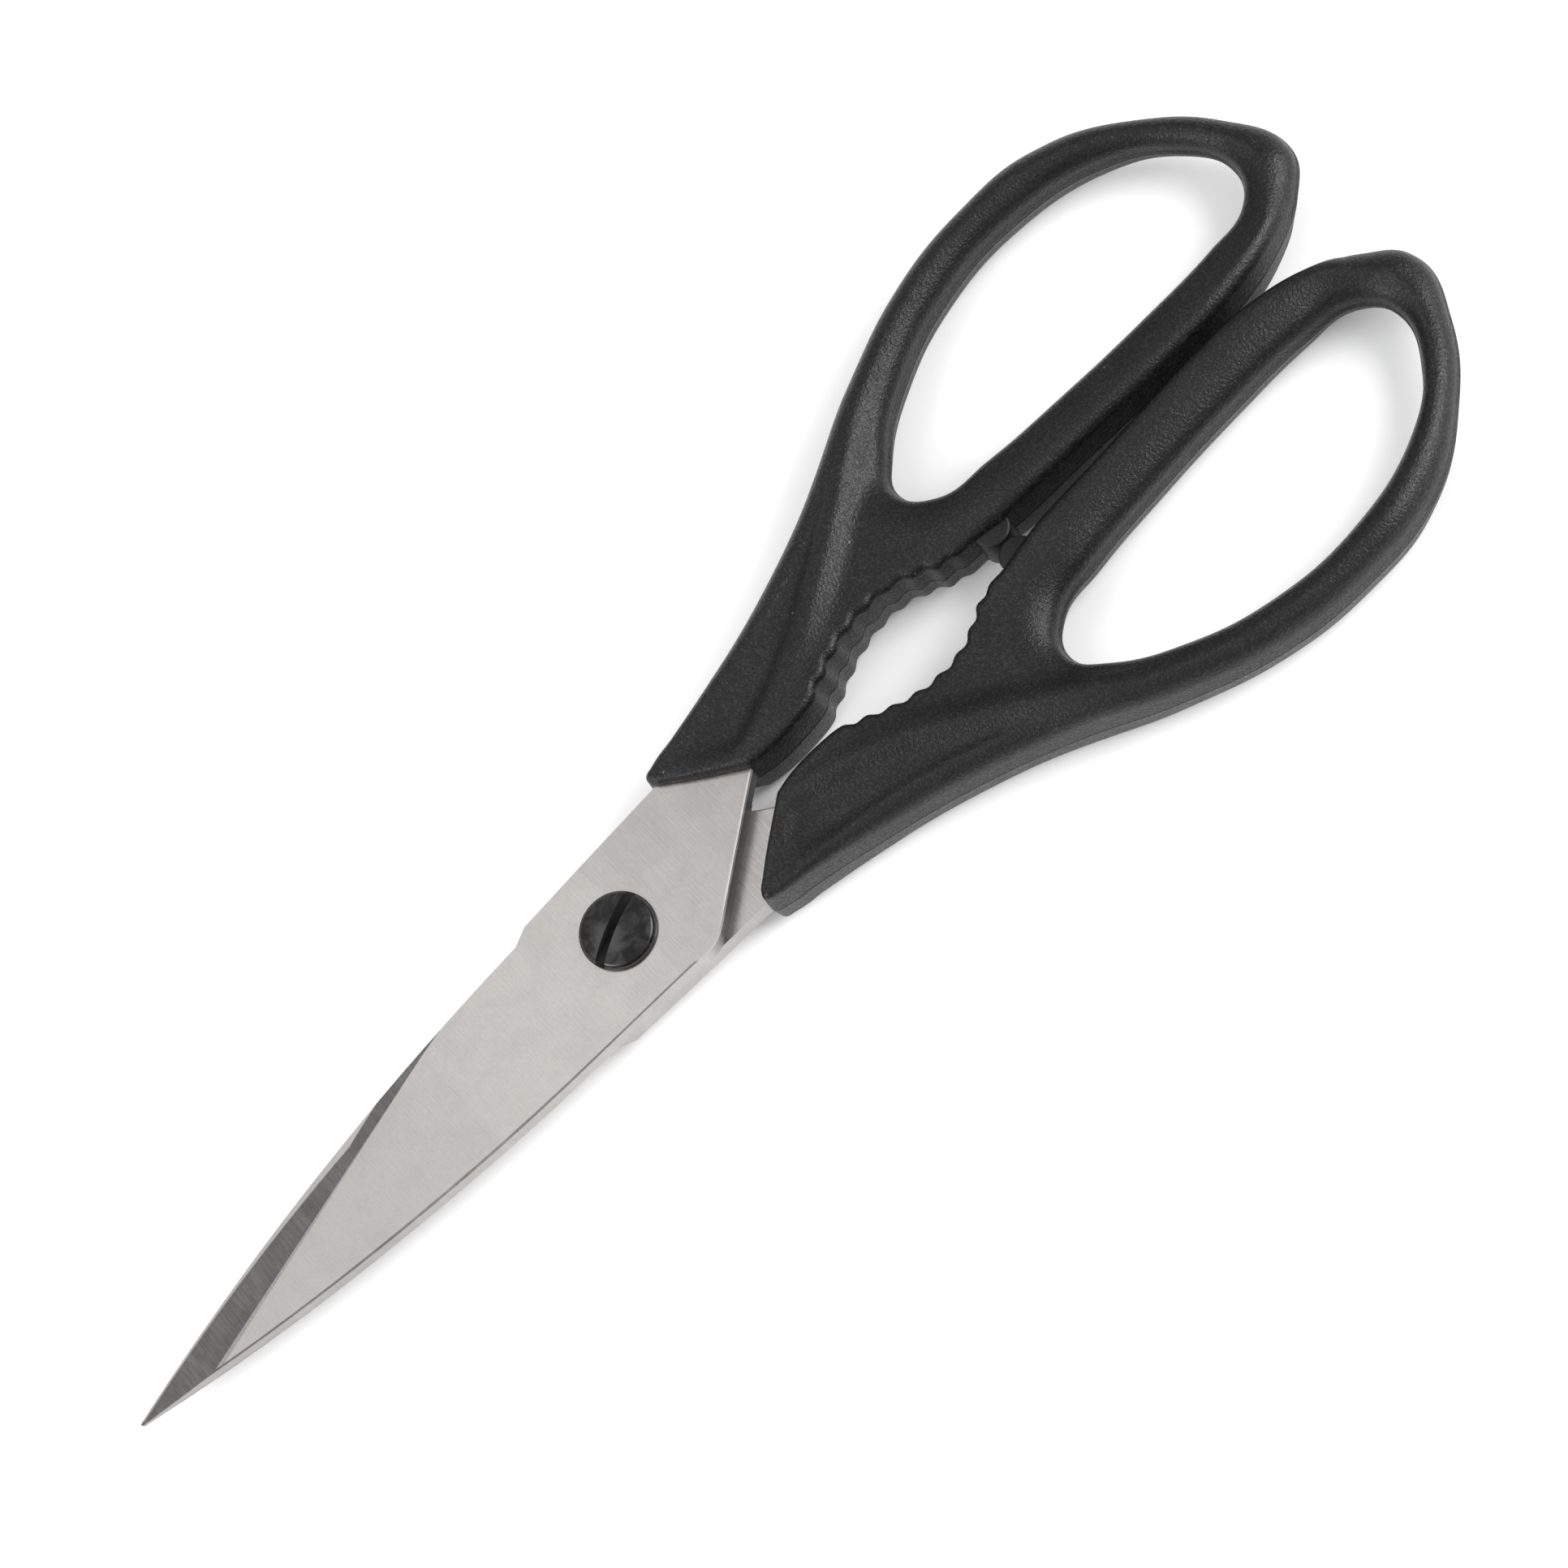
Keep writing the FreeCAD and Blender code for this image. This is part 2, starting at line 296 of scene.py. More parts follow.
def bladeSteel(name, flip):
    look = steelLook
    material, tree, shader = newMaterial(name)
    place = millimetres(tree, flip)
    x, y, z = addNode(tree, "ShaderNodeSeparateXYZ", Vector=place).outputs

    # how far the skin lies under the flat face, and under the long facet
    tip, middle = look["flat"]["tip"], look["flat"]["middle"]
    flat = addNode(tree, "ShaderNodeMapRange", n0=x, n1=tip[0], n2=middle[0], n3=tip[1], n4=middle[1])
    under = calc(tree, "SUBTRACT", flat.outputs[0], z)
    facet = look["facet"]
    across = calc(tree, "MAXIMUM", pastLine(tree, x, y, facet["at"], facet["turn"]), 0.0)
    underFacet = calc(tree, "SUBTRACT", under, calc(tree, "MULTIPLY", across, facet["slope"]))
    edgeSide = multiply(tree, fade(tree, across, *look["facetStart"]), fade(tree, z, *look["edgeRange"]))
    onFacet = multiply(tree, edgeSide, fade(tree, underFacet, *look["facetSkin"]))
    onHone = multiply(tree, edgeSide, fade(tree, underFacet, *look["honeSkin"]))

    # grinding strokes run across the blade, and on a slant beside the handle
    cross = grain(tree, place, **look["cross"])
    slant = grain(tree, place, **look["slant"])
    soft = grain(tree, place, **look["soft"])
    fine = grain(tree, place, **look["fine"])
    byNose = fade(tree, x, *look["slantX"])
    brushed = addNode(tree, "ShaderNodeMix", {"data_type": "FLOAT"}, n0=byNose, n2=cross, n3=slant).outputs[0]
    strokes = fade(tree, brushed, *look["strokeRange"])

    tone = scaleTone(tree, look["tone"], fade(tree, soft, *look["softRange"]))
    tone = scaleTone(tree, tone, fade(tree, fine, *look["fineRange"]))
    strength = calc(tree, "MULTIPLY_ADD", onFacet, look["facetStrokes"], look["faceStrokes"])
    strength = calc(tree, "ADD", strength, fade(tree, z, *look["innerStrokes"]))
    centred = calc(tree, "SUBTRACT", strokes, 0.5)
    tone = scaleTone(tree, tone, calc(tree, "MULTIPLY_ADD", centred, strength, 1.0))
    share = calc(tree, "MULTIPLY_ADD", onFacet, look["facetTone"] - 1.0, 1.0)
    share = calc(tree, "MULTIPLY_ADD", onHone, look["honeTone"] - 1.0, share)
    # painted shade, darker towards the tip
    share = calc(tree, "MULTIPLY", share, fade(tree, x, *look["tipShadeRange"]))

    # painted shade darkens the cut heel wall and its corner, and a painted highlight runs along the heel's top
    # edge
    offHeel = pastLine(tree, x, y, look["heel"]["at"], look["heel"]["turn"])
    onShadedWall = multiply(tree, fade(tree, under, *look["heelShadeTop"]), fade(tree, z, *look["heelShadeFoot"]))
    wall = multiply(tree, fade(tree, offHeel, *look["heelShadeRange"]), onShadedWall)
    corner = multiply(tree, fade(tree, x, *look["cornerShadeX"]), fade(tree, y, *look["cornerShadeY"]), onShadedWall)
    line = multiply(tree, fade(tree, offHeel, *look["edgeHighlightRange"]), fade(tree, under, *look["edgeHighlightTop"]),
                    fade(tree, x, *look["edgeHighlightX"]))
    share = dimWhere(tree, share, calc(tree, "MAXIMUM", wall, corner), look["heelShadeTone"])
    share = dimWhere(tree, share, line, look["edgeHighlightTone"])
    tree.links.new(scaleTone(tree, tone, share), shader.inputs["Base Color"])
    shader.inputs["Metallic"].default_value = 1.0
    rough = calc(tree, "MULTIPLY_ADD", strokes, look["strokeRoughness"], look["roughness"])
    rough = calc(tree, "MULTIPLY_ADD", calc(tree, "SUBTRACT", soft, 0.5), look["softRoughness"], rough)
    tree.links.new(rough, shader.inputs["Roughness"])
    addBumps(tree, shader, [(brushed, look["strokeDepth"]), (fine, look["fineDepth"])])
    return material


screwShape = {
    "profile": [(2.1, -5.7), (2.5, -5.3), (2.5, -3.0), (3.0, -2.99), (3.0, 3.42), (4.95, 3.43), (5.0, 3.5),
                (5.0, 3.78), (4.96, 3.9), (4.86, 3.98), (4.7, 4.03)],
    "crown": 4.97, "domeRings": 10, "slotWidth": 1.35, "slotDepth": 1.45, "slotTurn": 24.0, "slotOff": 0.35,
    "slotTool": (12.0, 2.0), "edge": 0.05,
}


oxideLook = {
    "dark": (0.006, 0.006, 0.006), "light": (0.028, 0.027, 0.026), "scratch": (0.10, 0.10, 0.10),
    "smudge": {"scale": 0.45, "detail": 4.0, "roughness": 0.6, "distortion": 0.8},
    "hair": {"scale": 1.0, "detail": 3.0, "roughness": 0.7, "distortion": 0.2, "stretch": (0.5, 5.0, 1.0),
             "turn": 24.0},
    "smudgeRange": (0.35, 0.75), "hairRange": (0.66, 0.78, 0.0, 0.5), "roughRange": (0.3, 0.7, 0.15, 0.32),
    # the slot's painted shade, its soft edge and depth, and its matt roughness
    "slotShadeTone": (0.001, 0.001, 0.001), "slotSoft": 0.04, "slotTop": (3.2, 3.4), "slotRoughness": 0.6,
    "shine": 0.45, "hairDepth": 0.006, "smudgeDepth": 0.03,
}


def blackOxide():
    look = oxideLook
    material, tree, shader = newMaterial("blackOxide")
    place = millimetres(tree, 1.0)
    smudge = grain(tree, place, **look["smudge"])
    hair = grain(tree, place, **look["hair"])
    tone = blendTone(tree, fade(tree, smudge, *look["smudgeRange"]), look["dark"], look["light"])
    tone = blendTone(tree, fade(tree, hair, *look["hairRange"]), tone, look["scratch"])

    # painted shade: the slot is painted nearly black, and kept matt
    x, y, z = addNode(tree, "ShaderNodeSeparateXYZ", Vector=place).outputs
    across = pastLine(tree, x, y, (0.0, 0.0), screwShape["slotTurn"])
    across = calc(tree, "ABSOLUTE", calc(tree, "SUBTRACT", across, screwShape["slotOff"]))
    half = 0.5 * screwShape["slotWidth"]
    slot = multiply(tree, fade(tree, across, half, half + look["slotSoft"], 1.0, 0.0),
                    fade(tree, z, *look["slotTop"]))
    tree.links.new(blendTone(tree, slot, tone, look["slotShadeTone"]), shader.inputs["Base Color"])
    shader.inputs["Specular IOR Level"].default_value = look["shine"]
    rough = fade(tree, smudge, *look["roughRange"])
    tree.links.new(calc(tree, "MULTIPLY_ADD", slot, look["slotRoughness"], rough), shader.inputs["Roughness"])
    addBumps(tree, shader, [(hair, look["hairDepth"]), (smudge, look["smudgeDepth"])])
    return material


rubberLook = {
    "dark": (0.004, 0.004, 0.004), "light": (0.010, 0.010, 0.010), "toneRange": (0.3, 0.7),
    "fine": {"scale": 3.0, "detail": 3.0, "roughness": 0.6}, "fineDepth": 0.03,
    "roughRange": (0.3, 0.7, 0.36, 0.50), "shine": 0.3,
}


def bufferRubber():
    look = rubberLook
    material, tree, shader = newMaterial("bufferRubber")
    fine = grain(tree, millimetres(tree, 1.0), **look["fine"])
    tone = blendTone(tree, fade(tree, fine, *look["toneRange"]), look["dark"], look["light"])
    tree.links.new(tone, shader.inputs["Base Color"])
    shader.inputs["Specular IOR Level"].default_value = look["shine"]
    tree.links.new(fade(tree, fine, *look["roughRange"]), shader.inputs["Roughness"])
    addBumps(tree, shader, [(fine, look["fineDepth"])])
    return material


def paintNode(name, material):
    slots = frame["nodes"][name].data.materials
    slots.clear()
    slots.append(material)


# The moulded handle, drawn in mm from the pivot: x along the shears, y outwards.
# Both handles are this one shape, the rear one turned over.
handleShape = {
    "outer": [(27.4, 2.6, "VECTOR"), (18.2, 9.5, "AUTO"), (16.5, 11.1, "AUTO"), (16.3, 12.3, "AUTO"),
              (18.3, 13.3, "AUTO"),
              (23.0, 14.2, "AUTO"), (30.0, 15.85, "AUTO"), (45.0, 20.1, "AUTO"), (60.0, 26.2, "AUTO"),
              (72.0, 32.5, "AUTO"), (86.0, 37.85, "AUTO"), (100.0, 39.6, "AUTO"), (113.5, 38.0, "AUTO"),
              (124.8, 30.9, "AUTO"), (132.7, 21.5, "AUTO"), (135.75, 12.0, "AUTO"), (131.6, 6.6, "AUTO"),
              (125.0, 3.1, "AUTO"), (115.0, 0.9, "AUTO"), (105.0, 0.65, "AUTO"), (90.0, 1.2, "AUTO"),
              (80.0, 1.5, "AUTO"), (76.0, 1.65, "AUTO"), (71.0, 2.3, "AUTO"), (69.0, 2.65, "AUTO"),
              (66.0, 2.8, "AUTO"), (63.5, 3.35, "AUTO"),
              (60.7, 4.8, "AUTO"), (57.5, 6.15, "AUTO"), (52.5, 6.6, "AUTO"), (48.0, 5.85, "AUTO"),
              (45.0, 4.8, "AUTO"), (42.0, 3.5, "AUTO"), (39.4, 2.45, "AUTO"), (36.5, 2.05, "AUTO"),
              (30.5, 2.0, "AUTO")],
    "hole": [(66.8, 17.0), (70.2, 12.3), (78.0, 10.6), (90.0, 9.6), (105.0, 9.0), (118.0, 9.25), (125.3, 10.7),
             (128.45, 15.5), (124.8, 24.1), (116.8, 30.0), (104.0, 33.15), (90.0, 32.2), (78.0, 27.8),
             (70.2, 22.3)],
    "ridge": [(24.0, 3.6), (31.0, 5.2), (38.0, 7.6), (45.0, 10.9), (55.0, 17.2), (63.0, 22.9), (70.0, 27.4),
              (80.0, 33.4), (90.0, 36.4), (100.0, 37.3)],
    "step": 0.5,
    "height": 6.25,
    "noseHeight": 4.7,
    "loopHeight": 5.8,
    "endHeight": 4.6,
    "holeFall": 2.6,
    "holeReach": 6.5,
    "holeRound": 3.0,
    "seamWidth": 0.13,
    "seamDepth": 0.10,
    "draft": 0.25,
    "grip": {"from": 39.6, "to": 66.3, "below": 12.0},
    "scallops": 8,
    "scallopBite": 0.5,
    "ridgeRise": 0.35, "ridgeWidth": 1.5,
    "webDrop": 0.95, "webRange": (0.2, 3.0), "webInside": (1.2, 4.2),
    "fingerDrop": 1.45, "fingerRange": (0.2, 4.2),
    "rounds": {"nose": 0.85, "grip": 1.2, "inner": 1.9, "outer": (1.1, 2.6), "loop": (2.9, 4.0)},
    "outerLimit": 90.0, "holeLimit": 60.0, "outerShare": 0.58, "holeShare": 0.55,
    "smoothRounds": 30, "smoothWays": 18, "smoothFit": 4,
    # the stretches of x over which the handle changes
    "along": {
        "noseRise": (15.0, 44.0), "loopDrop": (60.0, 84.0), "endDrop": (111.0, 133.0), "throatEnd": (62.0, 80.0),
        "ridgeStart": (24.0, 34.0), "webStart": (18.0, 30.0), "fingerStart": (34.0, 58.0),
        "holeStart": (56.0, 70.0), "outerGrowth": (18.0, 40.0), "loopStart": (45.0, 85.0),
        "loopGrowth": (100.0, 127.0),
    },
    # the wall from the seam to the rim: (inward, extra height) of the seam's lip, the shares of draft and
    # height half way up, and the steps of the rounded rim
    "wall": {
        "seamLip": (0.01, 0.12), "halfway": (0.4, 0.5), "leastHeight": 0.8, "roundRise": 1.15,
        "rimSteps": (0.13, 0.26, 0.39, 0.52, 0.65, 0.78, 0.9, 1.0),
    },
    # the net of points over the top and the underside
    "net": {"grid": 0.75, "rowStep": 0.866, "rimGap": 0.4, "fromX": 14.0, "toX": 137.0, "toY": 41.0},
}


def drawLoop(points):
    # a smooth closed curve through the points, turned into evenly spaced dots
    bpy.ops.object.select_all(action="DESELECT")
    bpy.ops.curve.primitive_bezier_circle_add(radius=1.0)
    loop = bpy.context.object
    spline = loop.data.splines[0]
    spline.bezier_points.add(len(points) - len(spline.bezier_points))
    for knot, point in zip(spline.bezier_points, points):
        knot.co = (point[0], point[1], 0.0)
        kind = point[2] if len(point) > 2 else "AUTO"
        knot.handle_left_type = kind
        knot.handle_right_type = kind
    loop.data.resolution_u = 32
    bpy.ops.object.convert(target="MESH")
    dots = [vertex.co.to_2d() for vertex in loop.data.vertices]
    bpy.data.objects.remove(loop)
    return spreadDots(dots)


def spreadDots(dots):
    reach = [0.0]
    for i, dot in enumerate(dots):
        reach.append(reach[-1] + (dots[(i + 1) % len(dots)] - dot).length)
    count = round(reach[-1] / handleShape["step"])
    even = []
    i = 0
    for n in range(count):
        goal = reach[-1] * n / count
        while reach[i + 1] < goal:
            i += 1
        share = (goal - reach[i]) / (reach[i + 1] - reach[i])
        even.append(dots[i].lerp(dots[(i + 1) % len(dots)], share))
    return even


def turnsLeft(dots):
    return sum(a.x * b.y - b.x * a.y for a, b in zip(dots, dots[1:] + dots[:1])) > 0.0


def intoMaterial(dots, outside):
    # unit directions that point from each dot into the plastic
    turn = 1.0 if turnsLeft(dots) == outside else -1.0
    ways = []
    for i in range(len(dots)):
        along = (dots[(i + 1) % len(dots)] - dots[i - 1]).normalized()
        ways.append(Vector((-along.y, along.x)) * turn)
    return ways


def cutScallops(dots, ways):
    bounds = handleShape["grip"]
    grip = [i for i, dot in enumerate(dots) if bounds["from"] < dot.x < bounds["to"] and dot.y < bounds["below"]]
    for n, i in enumerate(grip):
        wave = 0.5 - 0.5 * math.cos(2.0 * math.pi * handleShape["scallops"] * n / (len(grip) - 1))
        dots[i] = dots[i] + ways[i] * handleShape["scallopBite"] * wave
    return dots


def smoothRow(values, times):
    for _ in range(times):
        values = [(values[i - 1] + 2.0 * values[i] + values[(i + 1) % len(values)]) / 4.0
                  for i in range(len(values))]
    return values


def makeTree(dots):
    tree = kdtree.KDTree(len(dots))
    for i, dot in enumerate(dots):
        tree.insert((dot.x, dot.y, 0.0), i)
    tree.balance()
    return tree


def outerRound(dot):
    # how far the outer edge is rounded at each stretch of the outline
    rounds, along = handleShape["rounds"], handleShape["along"]
    if dot.x < 27.5 and dot.y < 11.0 or dot.x < 17.5:
        return rounds["nose"]
    if dot.y < 12.0 and dot.x < 69.0:
        return rounds["grip"]
    if dot.y < 5.0:
        return rounds["inner"]
    outer = lerp(*rounds["outer"], ease(dot.x, *along["outerGrowth"]))
    loop = lerp(*rounds["loop"], ease(dot.x, *along["loopGrowth"]))
    return lerp(outer, loop, ease(dot.x, *along["loopStart"]))


class Outline:
    def __init__(self, dots, outside, roundOf, limit):
        self.limit = math.radians(limit)
        self.ways = intoMaterial(dots, outside)
        self.dots = cutScallops(dots, self.ways) if outside else dots
        self.ways = intoMaterial(self.dots, outside)
        self.rounds = smoothRow([roundOf(dot) for dot in self.dots], handleShape["smoothRounds"])
        xs = smoothRow([way.x for way in self.ways], handleShape["smoothWays"])
        ys = smoothRow([way.y for way in self.ways], handleShape["smoothWays"])
        self.ways = [Vector(pair).normalized() for pair in zip(xs, ys)]
        self.tree = makeTree(self.dots)

    def depth(self, x, y):
        # how far a place lies inside the plastic, and the nearest dot
        _, i, _ = self.tree.find((x, y, 0.0))
        return (Vector((x, y)) - self.dots[i]).dot(self.ways[i]), i

    def rimWidth(self, i):
        return self.rounds[i] * (1.0 - math.cos(self.limit)) + handleShape["draft"]

    def rim(self, i):
        return self.dots[i] + self.ways[i] * self.rimWidth(i)


def ridgeSide(x, y):
    # distance from the ridge line, positive on its finger side
    best = 1e9
    side = 1.0
    place = Vector((x, y))
    for a, b in zip(handleShape["ridge"], handleShape["ridge"][1:]):
        a, b = Vector(a), Vector(b)
        run = b - a
        share = min(1.0, max(0.0, (place - a).dot(run) / run.length_squared))
        off = place - (a + run * share)
        if off.length < best:
            best = off.length
            side = 1.0 if run.cross(off) < 0.0 else -1.0
    return best * side


def skinHeight(x, y, outer, hole):
    shape, along = handleShape, handleShape["along"]
    top = lerp(shape["noseHeight"], shape["height"] - shape["ridgeRise"], ease(x, *along["noseRise"]))
    top = lerp(top, shape["loopHeight"], ease(x, *along["loopDrop"]))
    top = lerp(top, shape["endHeight"], ease(x, *along["endDrop"]))
    inside, _ = outer.depth(x, y)
    fromHole, _ = hole.depth(x, y)
    fromRidge = ridgeSide(x, y)
    throat = 1.0 - ease(x, *along["throatEnd"])
    crest = math.exp(-(fromRidge / shape["ridgeWidth"]) ** 2)
    top += shape["ridgeRise"] * crest * ease(x, *along["ridgeStart"]) * throat
    if fromRidge < 0.0:
        drop = shape["webDrop"] * ease(-fromRidge, *shape["webRange"]) * ease(inside, *shape["webInside"])
        top -= drop * throat * ease(x, *along["webStart"])
    else:
        drop = shape["fingerDrop"] * ease(fromRidge, *shape["fingerRange"])
        top -= drop * throat * ease(x, *along["fingerStart"])
    nearHole = max(0.0, 1.0 - fromHole / shape["holeReach"])
    top -= shape["holeFall"] * nearHole ** 2 * ease(x, *along["holeStart"])
    return top


def raiseWall(outline, outer, hole, mesh):
    # rings of vertices from the mould seam up to the rim, and the same downwards
    rings = {}
    wall = handleShape["wall"]
    draft, seam = handleShape["draft"], handleShape["seamWidth"]
    lipIn, lipUp = wall["seamLip"]
    halfIn, halfUp = wall["halfway"]
    for i, (dot, way) in enumerate(zip(outline.dots, outline.ways)):
        rim = outline.rim(i)
        top = skinHeight(rim.x, rim.y, outer, hole)
        rounding = outline.rounds[i]
        rise = min(top - wall["leastHeight"], rounding * wall["roundRise"] * math.sin(outline.limit))
        low = top - rise
        levels = [(handleShape["seamDepth"], 0.0), (0.0, seam), (lipIn, seam + lipUp),
                  (halfIn * draft, halfUp * low), (draft, low)]
        for share in wall["rimSteps"]:
            turn = outline.limit * share
            levels.append((draft + rounding * (1.0 - math.cos(turn)),
                           low + rise * math.sin(turn) / math.sin(outline.limit)))
        for level, (inward, height) in enumerate(levels):
            place = dot + way * inward
            rings.setdefault(level, []).append(mesh.addPoint(place.x, place.y, height))
            if level > 0:
                rings.setdefault(-level, []).append(mesh.addPoint(place.x, place.y, -height))
    order = sorted(rings)
    for below, above in zip(order, order[1:]):
        mesh.joinRings(rings[below], rings[above])
    return rings[order[-1]], rings[order[0]]


class MeshPile:
    def __init__(self):
        self.points = []
        self.faces = []

    def addPoint(self, x, y, z):
        self.points.append((x, y, z))
        return len(self.points) - 1

    def joinRings(self, low, high):
        count = len(low)
        for i in range(count):
            self.faces.append((low[i], low[(i + 1) % count], high[(i + 1) % count], high[i]))


def spreadSkin(outer, hole, mesh, rims):
    # fills the top and the underside between the two rims with an even net
    (outerTop, outerLow), (holeTop, holeLow) = rims
    places = [outer.rim(i) for i in range(len(outer.dots))] + [hole.rim(i) for i in range(len(hole.dots))]
    count = len(outer.dots)
    around = [list(range(count)), list(range(count, len(places)))]
    around = [ring if turnsLeft([places[n] for n in ring]) else ring[::-1] for ring in around]
    topIds = list(outerTop) + list(holeTop)
    lowIds = list(outerLow) + list(holeLow)
    net = handleShape["net"]
    grid = net["grid"]
    gap = net["rimGap"] * grid
    row = 0
    y = 0.0
    while y < net["toY"]:
        x = net["fromX"] + 0.5 * grid * (row % 2)
        while x < net["toX"]:
            inside, i = outer.depth(x, y)
            clear, j = hole.depth(x, y)
            if inside > outer.rimWidth(i) + gap and clear > hole.rimWidth(j) + gap:
                height = skinHeight(x, y, outer, hole)
                places.append(Vector((x, y)))
                topIds.append(mesh.addPoint(x, y, height))
                lowIds.append(mesh.addPoint(x, y, -height))
            x += grid
        y += grid * net["rowStep"]
        row += 1
    _, _, faces, origins, _, owners = geometry.delaunay_2d_cdt(places, [], around, 1, 1e-5)
    for face, owner in zip(faces, owners):
        if owner == [0]:
            ids = [origins[n][0] for n in face]
            mesh.faces.append(tuple(topIds[n] for n in ids))
            mesh.faces.append(tuple(lowIds[n] for n in reversed(ids)))


def fitRounds(outline, other, share):
    # keeps the rounded edges of a narrow limb clear of each other
    widths = [other.depth(dot.x, dot.y)[0] for dot in outline.dots]
    sizes = [min(size, share * width - handleShape["draft"]) for size, width in zip(outline.rounds, widths)]
    outline.rounds = smoothRow(sizes, handleShape["smoothFit"])


def mouldHandle():
    shape = handleShape
    outer = Outline(drawLoop(shape["outer"]), True, outerRound, shape["outerLimit"])
    hole = Outline(drawLoop(shape["hole"]), False, lambda dot: shape["holeRound"], shape["holeLimit"])
    fitRounds(outer, hole, shape["outerShare"])
    fitRounds(hole, outer, shape["holeShare"])
    mesh = MeshPile()
    rims = [raiseWall(outer, outer, hole, mesh), raiseWall(hole, outer, hole, mesh)]
    spreadSkin(outer, hole, mesh, rims)
    return mesh


def pickOnly(piece):
    bpy.ops.object.select_all(action="DESELECT")
    piece.select_set(True)
    bpy.context.view_layer.objects.active = piece


def turnFacesOut():
    bpy.ops.mesh.select_all(action="SELECT")
    bpy.ops.mesh.normals_make_consistent(inside=False)
    bpy.ops.object.mode_set(mode="OBJECT")


def handOver(piece, body, node):
    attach(piece, body)
    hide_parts(node)


def placeHandle(name, pile, flip, body, node, material):
    points = [fromPivot(x, y * flip, z * flip) for x, y, z in pile.points]
    data = bpy.data.meshes.new(name)
    data.from_pydata(points, [], pile.faces)
    handle = bpy.data.objects.new(name, data)
    scene.collection.objects.link(handle)
    pickOnly(handle)
    bpy.ops.object.mode_set(mode="EDIT")
    turnFacesOut()
    bpy.ops.object.shade_smooth()
    data.materials.append(material)
    handOver(handle, body, node)


pile = mouldHandle()
print("handle mesh:", len(pile.points), "points", len(pile.faces), "faces")
placeHandle("frontGrip", pile, 1.0, "front_half", "front_handle", handlePlastic("frontPlastic", 1.0))
placeHandle("rearGrip", pile, -1.0, "rear_half", "rear_handle", handlePlastic("rearPlastic", -1.0))
print("both handles are moulded")


def turnProfile(at, profile, sides=96):
    # a round piece, drawn as (radius, height) steps from its foot to its top
    bpy.ops.object.select_all(action="DESELECT")
    radius, height = profile[0]
    bpy.ops.mesh.primitive_circle_add(vertices=sides, radius=radius * mm, fill_type="NGON",
                                      location=fromPivot(at[0], at[1], height))
    bpy.ops.object.mode_set(mode="EDIT")
    bpy.ops.mesh.select_all(action="SELECT")
    for wider, higher in profile[1:]:
        bpy.ops.mesh.extrude_region_move(TRANSFORM_OT_translate={"value": (0.0, 0.0, (higher - height) * mm)})
        bpy.ops.transform.resize(value=(wider / radius, wider / radius, 1.0),
                                 center_override=fromPivot(at[0], at[1], higher))
        radius, height = wider, higher
    turnFacesOut()
    return bpy.context.object


def cutWith(piece, tool, operation="DIFFERENCE"):
    cut = piece.modifiers.new("cut", "BOOLEAN")
    cut.operation = operation
    cut.solver = "EXACT"
    cut.object = tool
    bpy.ops.object.select_all(action="DESELECT")
    bpy.context.view_layer.objects.active = piece
    bpy.ops.object.modifier_apply(modifier=cut.name)
    bpy.data.objects.remove(tool)


def breakEdges(piece, width, steps=2, angle=35.0):
    bevel = piece.modifiers.new("edges", "BEVEL")
    bevel.width = width * mm
    bevel.segments = steps
    bevel.limit_method = "ANGLE"
    bevel.angle_limit = math.radians(angle)
    bevel.use_clamp_overlap = True
    bpy.context.view_layer.objects.active = piece
    bpy.ops.object.modifier_apply(modifier=bevel.name)


def finishPiece(piece, name, body, node, material):
    piece.name = name
    pickOnly(piece)
    bpy.ops.object.transform_apply(location=True, rotation=True, scale=True)
    bpy.ops.object.shade_smooth_by_angle(angle=math.radians(30.0))
    piece.data.materials.clear()
    piece.data.materials.append(material)
    handOver(piece, body, node)


def makeScrew(material):
    shape = screwShape
    profile = list(shape["profile"])
    edge, foot = profile[-1]
    rings = shape["domeRings"]
    for i in range(1, rings):
        radius = edge * (1.0 - i / rings)
        profile.append((radius, shape["crown"] - (shape["crown"] - foot) * (radius / edge) ** 2))
    screw = turnProfile((0.0, 0.0), profile)
    bpy.ops.object.select_all(action="DESELECT")
    turn = math.radians(shape["slotTurn"])
    off = shape["slotOff"]
    length, height = shape["slotTool"]
    middle = shape["crown"] - shape["slotDepth"] + 0.5 * height
    bpy.ops.mesh.primitive_cube_add(size=mm, rotation=(0.0, 0.0, turn), scale=(length, shape["slotWidth"], height),
                                    location=fromPivot(-off * math.sin(turn), off * math.cos(turn), middle))
    cutWith(screw, bpy.context.object)
    breakEdges(screw, shape["edge"])
    finishPiece(screw, "slottedScrew", "rear_half", "pivot_screw", material)


headRingShape = {"radius": 5.4, "hole": 3.0, "low": 3.02, "high": 3.42, "lip": 0.07}
nutRingShape = {"radius": 4.9, "hole": 2.5, "low": -3.4, "high": -3.0, "lip": 0.07}


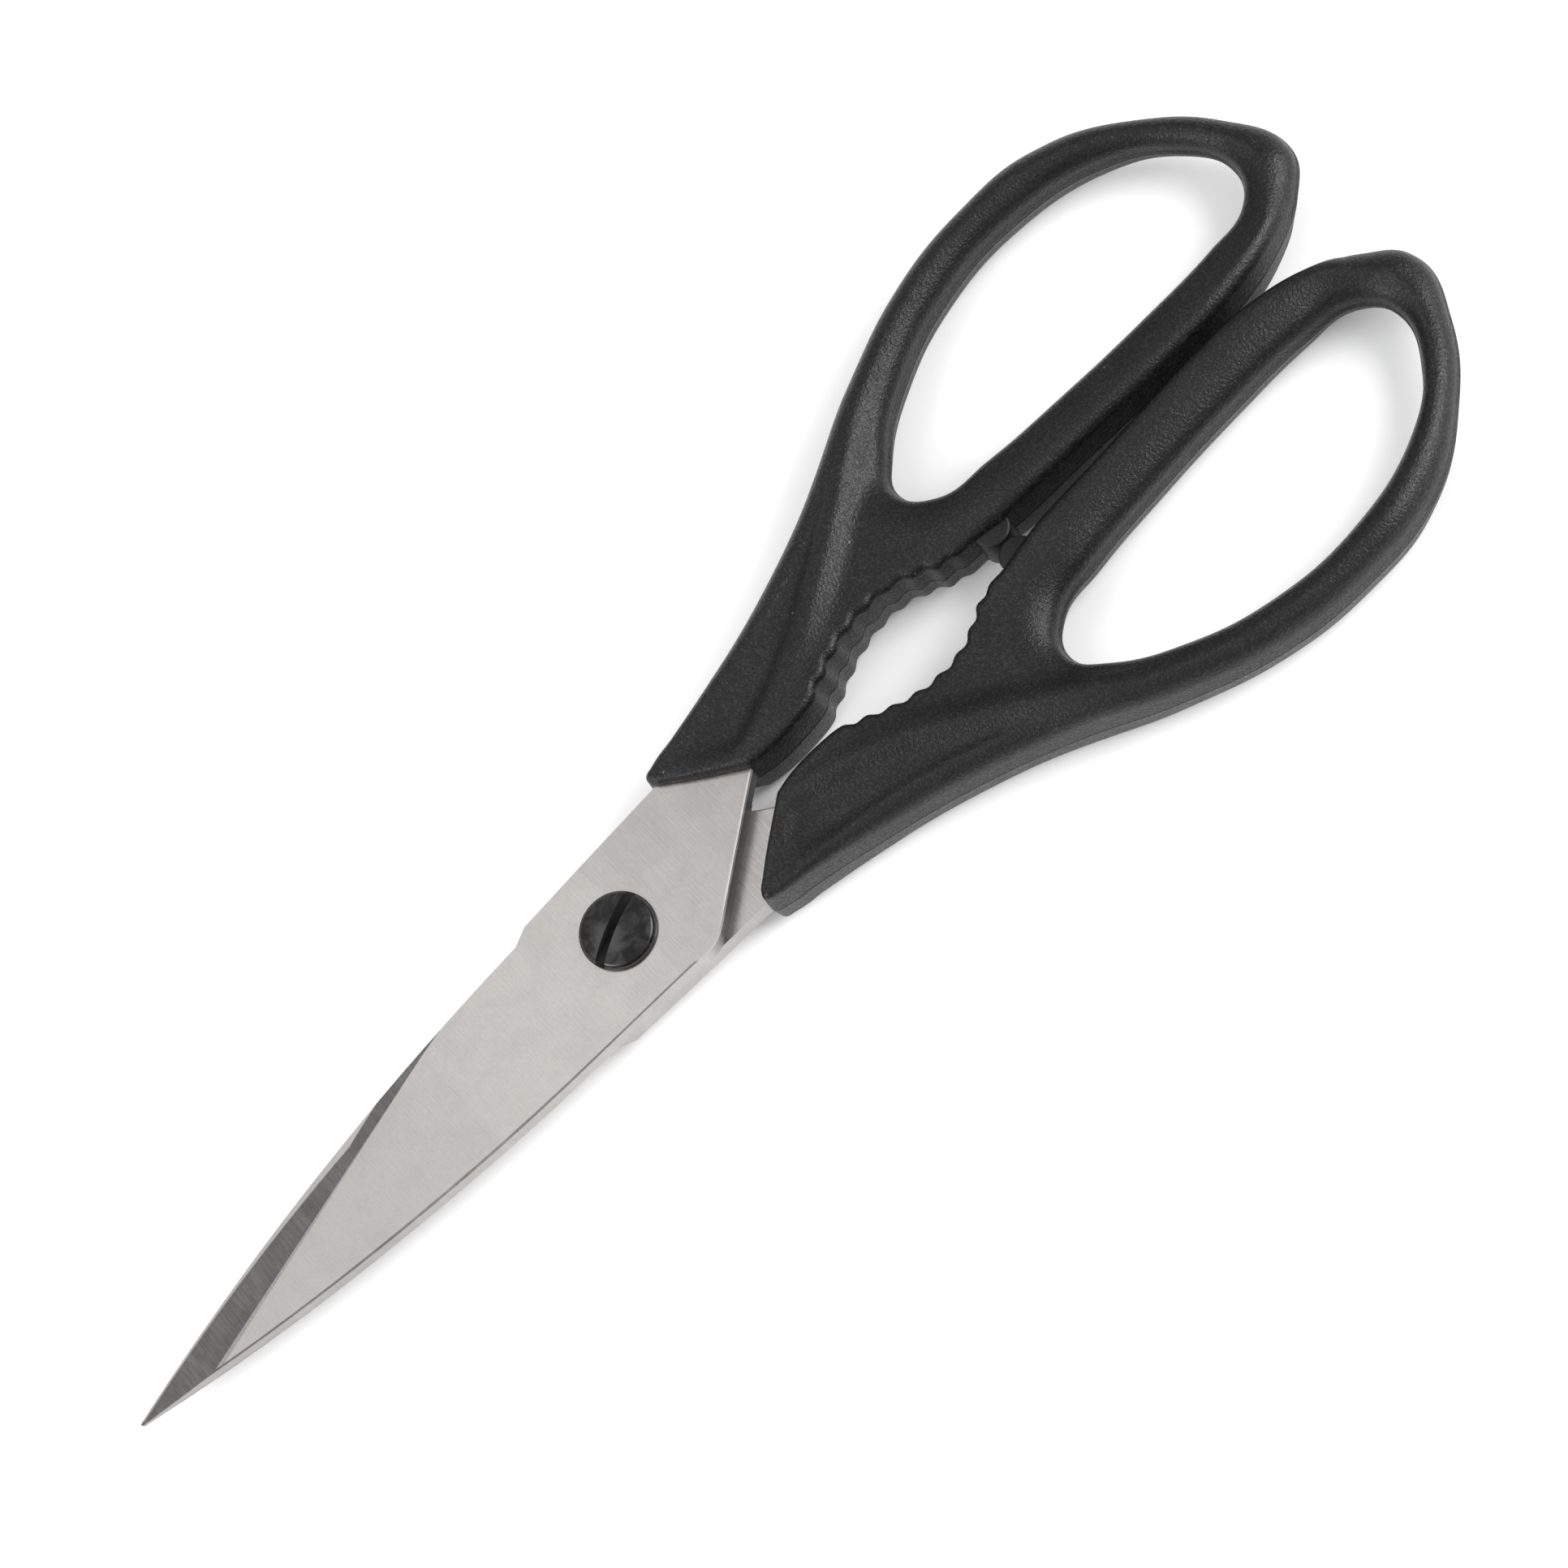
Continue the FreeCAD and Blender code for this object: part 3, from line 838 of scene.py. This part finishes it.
def makeWasher(name, node, shape, material):
    radius, low, high, lip = shape["radius"], shape["low"], shape["high"], shape["lip"]
    washer = turnProfile((0.0, 0.0), [(radius - lip, low), (radius, low + lip), (radius, high - lip),
                                      (radius - lip, high)])
    cutWith(washer, turnProfile((0.0, 0.0), [(shape["hole"], low - 1.0), (shape["hole"], high + 1.0)]))
    finishPiece(washer, name, "rear_half", node, material)


nutShape = {"acrossFlats": 8.0, "low": -5.7, "high": -3.4, "hole": 2.5, "footRadius": 4.0, "cornerLoss": 0.33,
            "coneSpare": 0.1, "edge": 0.08}


def makeNut(material):
    shape = nutShape
    corner = shape["acrossFlats"] / math.sqrt(3.0)
    nut = turnProfile((0.0, 0.0), [(corner, shape["low"]), (corner, shape["high"])], sides=6)
    cone = turnProfile((0.0, 0.0), [(shape["footRadius"], shape["low"]),
                                    (corner, shape["low"] + shape["cornerLoss"]),
                                    (corner + shape["coneSpare"], shape["high"])])
    cutWith(nut, cone, "INTERSECT")
    cutWith(nut, turnProfile((0.0, 0.0), [(shape["hole"], shape["low"] - 1.0), (shape["hole"], 0.0)]))
    breakEdges(nut, shape["edge"])
    finishPiece(nut, "hexNut", "rear_half", "pivot_nut", material)


# the rounding lists how far the edge is inside the radius and the end, in steps
bufferShape = {"x": 71.7, "y": 2.775, "radius": 2.7, "half": 3.4,
               "rounding": [(0.45, 0.0), (0.22, 0.04), (0.07, 0.14), (0.0, 0.32)]}


def makeBuffer(name, side, body, node, material):
    radius, half = bufferShape["radius"], bufferShape["half"]
    edge = [(radius - inward, down) for inward, down in bufferShape["rounding"]]
    profile = [(r, -half + z) for r, z in edge] + [(r, half - z) for r, z in reversed(edge)]
    buffer = turnProfile((bufferShape["x"], side * bufferShape["y"]), profile, sides=64)
    finishPiece(buffer, name, body, node, material)


oxide = blackOxide()
rubber = bufferRubber()
paintNode("front_blade", bladeSteel("frontSteel", 1.0))
paintNode("rear_blade", bladeSteel("rearSteel", -1.0))
makeScrew(oxide)
makeWasher("headRing", "head_washer", headRingShape, oxide)
makeWasher("nutRing", "nut_washer", nutRingShape, oxide)
makeNut(oxide)
makeBuffer("frontBuffer", 1.0, "front_half", "front_stop_buffer", rubber)
makeBuffer("rearBuffer", -1.0, "rear_half", "rear_stop_buffer", rubber)
print("screw, washers, nut and buffers are made")
